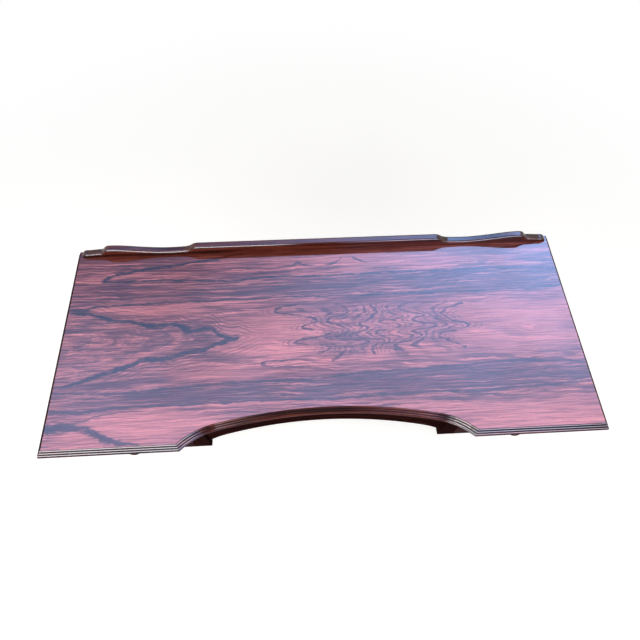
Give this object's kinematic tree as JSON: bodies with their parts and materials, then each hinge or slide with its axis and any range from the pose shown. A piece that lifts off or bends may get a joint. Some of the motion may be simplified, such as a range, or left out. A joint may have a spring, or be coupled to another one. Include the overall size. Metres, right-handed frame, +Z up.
{
  "type": "kneehole writing desk",
  "caption": "Flat-topped writing desk with a hollow kneehole front, reeded edge, low shaped back rail and side drawers on turned trestle ends.",
  "frame": {"origin": "on the floor, under the middle of the desk's overall box", "axes": "+X to the sitter's right along the width, +Y from the sitter to the back rail, +Z up"},
  "size_m": [1.223, 0.5101, 0.7776],
  "materials": {
    "rosewood": "polished dark red-brown rosewood",
    "figured_veneer": "high-gloss figured rosewood veneer",
    "carcass_pine": "unfinished, aged",
    "drawer_oak": "waxed drawer linings",
    "screw_steel": "plain steel"
  },
  "bodies": {
    "desk": {"top_core": "carcass_pine", "top_veneer": "figured_veneer", "moulding_front_left": "rosewood", "moulding_front_right": "rosewood", "moulding_kneehole": "rosewood", "moulding_end_left": "rosewood", "moulding_end_right": "rosewood", "gallery_rail": "rosewood", "gallery_dowels": "carcass_pine", "end_panel_left": "rosewood", "end_panel_right": "rosewood", "back_panel": "rosewood", "kneehole_apron": "rosewood", "apron_bead": "rosewood", "corner_post_left": "rosewood", "corner_post_right": "rosewood", "partition_left": "carcass_pine", "partition_right": "carcass_pine", "upper_rail_left": "rosewood", "upper_rail_right": "rosewood", "lower_rail_left": "rosewood", "lower_rail_right": "rosewood", "dust_board_left": "carcass_pine", "dust_board_right": "carcass_pine", "drawer_runners_left": "carcass_pine", "drawer_runners_right": "carcass_pine", "drawer_kickers_left": "carcass_pine", "drawer_kickers_right": "carcass_pine", "drawer_stops_left": "carcass_pine", "drawer_stops_right": "carcass_pine", "glue_blocks": "carcass_pine", "top_screws": "screw_steel", "foot_left": "rosewood", "foot_right": "rosewood", "foot_pads_left": "rosewood", "foot_pads_right": "rosewood", "column_front_left": "rosewood", "column_back_left": "rosewood", "column_front_right": "rosewood", "column_back_right": "rosewood", "yoke_left": "rosewood", "yoke_right": "rosewood", "stretcher_block_left": "rosewood", "stretcher_block_right": "rosewood", "stretcher": "rosewood"},
    "drawer_left": {"drawer_left_front": "rosewood", "drawer_left_inner_side": "drawer_oak", "drawer_left_outer_side": "drawer_oak", "drawer_left_back": "drawer_oak", "drawer_left_bottom": "drawer_oak", "drawer_left_knob": "rosewood"},
    "drawer_right": {"drawer_right_front": "rosewood", "drawer_right_inner_side": "drawer_oak", "drawer_right_outer_side": "drawer_oak", "drawer_right_back": "drawer_oak", "drawer_right_bottom": "drawer_oak", "drawer_right_knob": "rosewood"}
  },
  "joints": [
    {"name": "drawer_left_slide", "type": "slide", "parent": "desk", "child": "drawer_left", "axis": [0, -1, 0], "range_m": [0, 0.28]},
    {"name": "drawer_right_slide", "type": "slide", "parent": "desk", "child": "drawer_right", "axis": [0, -1, 0], "range_m": [0, 0.28]}
  ]
}
